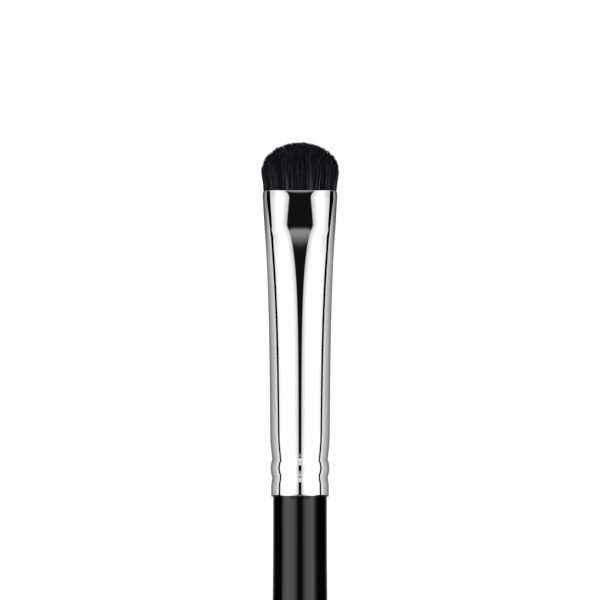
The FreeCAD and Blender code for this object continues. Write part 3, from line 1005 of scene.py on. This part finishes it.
# %% Follow each filament from root to tip
LEAN_CURVE, FLICK_CURVE = 1.5, 3

paths = np.zeros((FILAMENT_COUNT, FILAMENT_STEPS + 1, 3))


def set_ring(ring, height, place):
    """Put one ring of every filament at its height and place."""
    paths[:, ring, 0] = place[:, 0]
    paths[:, ring, 1] = height
    paths[:, ring, 2] = place[:, 1]


for ring, (height, place) in enumerate(stations):
    set_ring(ring, height, place)
free_rings = FILAMENT_STEPS + 1 - len(stations)
for step in range(1, free_rings + 1):
    share = step / free_rings
    height = TUFT_LIP_HEIGHT + (tip_height - TUFT_LIP_HEIGHT) * share
    spread = ease(height, TUFT_LIP_HEIGHT, TUFT_SPREAD_HEIGHT)
    place = seed_lip + (seed_wide - seed_lip) * spread[:, None]
    place = place + (pull + lean) * share**LEAN_CURVE + flick * share**FLICK_CURVE
    set_ring(len(stations) + step - 1, height, place)
print("paths:", paths.shape)

# %% [markdown]
# All copies go into two meshes, the upper and the lower half of the tuft. Each point keeps two
# numbers for the material: the shade of its filament and how far it stands above the mouth.

# %% Grow the two halves of the tuft
MEAN_SHADE, SHADE_SPREAD, LOCK_SHADE_SPREAD = 0.34, 0.40, 0.22
THINNEST, THICKEST = 0.85, 1.15

lock_shade = rng.normal(0, LOCK_SHADE_SPREAD, LOCKS)[nearest_lock]
filament_shade = MEAN_SHADE + rng.normal(0, SHADE_SPREAD, FILAMENT_COUNT) + lock_shade
filament_shade = np.clip(filament_shade, 0, 1)
filament_size = FILAMENT_RADIUS * rng.uniform(THINNEST, THICKEST, FILAMENT_COUNT)


def grow_bundle(name, chosen):
    """One mesh with a copy of the filament along each chosen path."""
    spines = paths[chosen][:, filament_ring, :]
    sizes = filament_size[chosen][:, None]
    x = spines[:, :, 0] + filament_points[None, :, 0] * sizes
    y = spines[:, :, 1]
    z = spines[:, :, 2] + filament_points[None, :, 2] * sizes
    places = np.stack([x * MM, mouth_y + y * MM, axis_z + z * MM], axis=2).reshape(-1, 3)
    faces = []
    for copy in range(len(chosen)):
        first = copy * len(filament_points)
        faces.extend(tuple(first + corner for corner in face) for face in filament_faces)
    mesh = bpy.data.meshes.new(name)
    mesh.from_pydata(places.tolist(), [], faces)
    shade = np.repeat(filament_shade[chosen], len(filament_points))
    mesh.attributes.new("shade", "FLOAT", "POINT").data.foreach_set("value", shade)
    mesh.attributes.new("height", "FLOAT", "POINT").data.foreach_set("value", y.ravel())
    bundle = bpy.data.objects.new(name, mesh)
    bpy.context.scene.collection.objects.link(bundle)
    deselect_everything()
    bundle.select_set(True)
    bpy.context.view_layer.objects.active = bundle
    bpy.ops.object.shade_smooth()
    return bundle


upper = np.flatnonzero(seed_wide[:, 1] >= 0)
lower = np.flatnonzero(seed_wide[:, 1] < 0)
bundles = [grow_bundle("filaments_upper", upper), grow_bundle("filaments_lower", lower)]
for bundle in bundles:
    bundle.data.calc_loop_triangles()
    print(bundle.name, len(bundle.data.loop_triangles), "triangles")

# %% [markdown]
# ## Filament material
# The fibres are dyed black with a cold, faintly violet cast. Each has its own shade, and the palest
# ones get a painted highlight close to the mouth, where they bend over the lip: a light colour mixed
# into their own colour there.

# %% Black filaments
DARKEST_DYE, LIGHTEST_DYE = (0.0005, 0.0003, 0.0011, 1), (0.0255, 0.0210, 0.0330, 1)
# Painted highlight: the light colour mixed into the palest filaments near the mouth.
PAINTED_HIGHLIGHT = (0.092, 0.085, 0.098, 1)

fibre, tree, output = new_material("black_filaments")
shade = add_node(tree, "Attribute", {"attribute_name": "shade"})
height = add_node(tree, "Attribute", {"attribute_name": "height"})
near_mouth = add_node(
    tree, "MapRange", Value=height.outputs["Fac"],
    From_Min=0.1, From_Max=2.0, To_Min=1.0, To_Max=0.0,
)
highlighted_ones = add_node(tree, "MapRange", Value=shade.outputs["Fac"], From_Min=0.80, From_Max=1.0)
# How much painted highlight each point takes: the palest filaments, fading out by 2 mm above the
# mouth.
painted_highlight_share = math_node(tree, "MULTIPLY", near_mouth.outputs[0], highlighted_ones.outputs[0])
dye = add_node(tree, "ValToRGB", Fac=shade.outputs["Fac"])
dye.color_ramp.elements[0].color = DARKEST_DYE
dye.color_ramp.elements[1].color = LIGHTEST_DYE
colour = add_node(
    tree, "Mix", {"data_type": "RGBA"}, _0=painted_highlight_share, _6=dye.outputs["Color"], _7=PAINTED_HIGHLIGHT,
)
hair = add_node(
    tree, "BsdfPrincipled", Base_Color=colour.outputs[2], IOR=1.5, Specular_IOR_Level=0.09,
    Roughness=wandering_value(tree, object_place(tree), 900.0, 0.5, 0.7),
)
tree.links.new(hair.outputs[0], output.inputs["Surface"])
for bundle in bundles:
    bundle.data.materials.append(fibre)
    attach(bundle, "root")
    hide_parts("tuft")

# %% [markdown]
# ## What the ferrule hides
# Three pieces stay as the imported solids, because they are shut inside the ferrule: the glue round
# the tenon, the resin at the root and the binding thread. Each gets its own simple finish.

# %% Glue, resin and thread


def cast_finish(name, low, high, roughness, scale):
    """A cast or wound piece whose colour wanders between two tones."""
    material, tree, output = new_material(name)
    place = object_place(tree)
    cloud = wandering_value(tree, place, scale, 0.0, 1.0)
    tone = add_node(tree, "Mix", {"data_type": "RGBA"}, _0=cloud, _6=low, _7=high)
    body = add_node(
        tree, "BsdfPrincipled", Base_Color=tone.outputs[2],
        Roughness=wandering_value(tree, place, scale * 2, roughness * 0.7, roughness * 1.3),
        Normal=fine_relief(tree, place, scale * 4, 0.000004),
    )
    tree.links.new(body.outputs[0], output.inputs["Surface"])
    return material


inner_finishes = {
    "tenon_glue": cast_finish(
        "dried_glue", (0.80, 0.75, 0.61, 1), (0.90, 0.87, 0.77, 1), roughness=0.25, scale=600.0,
    ),
    "root_epoxy": cast_finish(
        "cured_resin", (0.62, 0.48, 0.24, 1), (0.80, 0.67, 0.41, 1), roughness=0.15, scale=450.0,
    ),
    "binding_thread": cast_finish(
        "waxed_thread", (0.74, 0.71, 0.65, 1), (0.88, 0.86, 0.81, 1), roughness=0.7, scale=2500.0,
    ),
}
for node, material in inner_finishes.items():
    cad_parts[node].data.materials.clear()
    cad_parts[node].data.materials.append(material)
print("inner pieces:", sorted(inner_finishes))
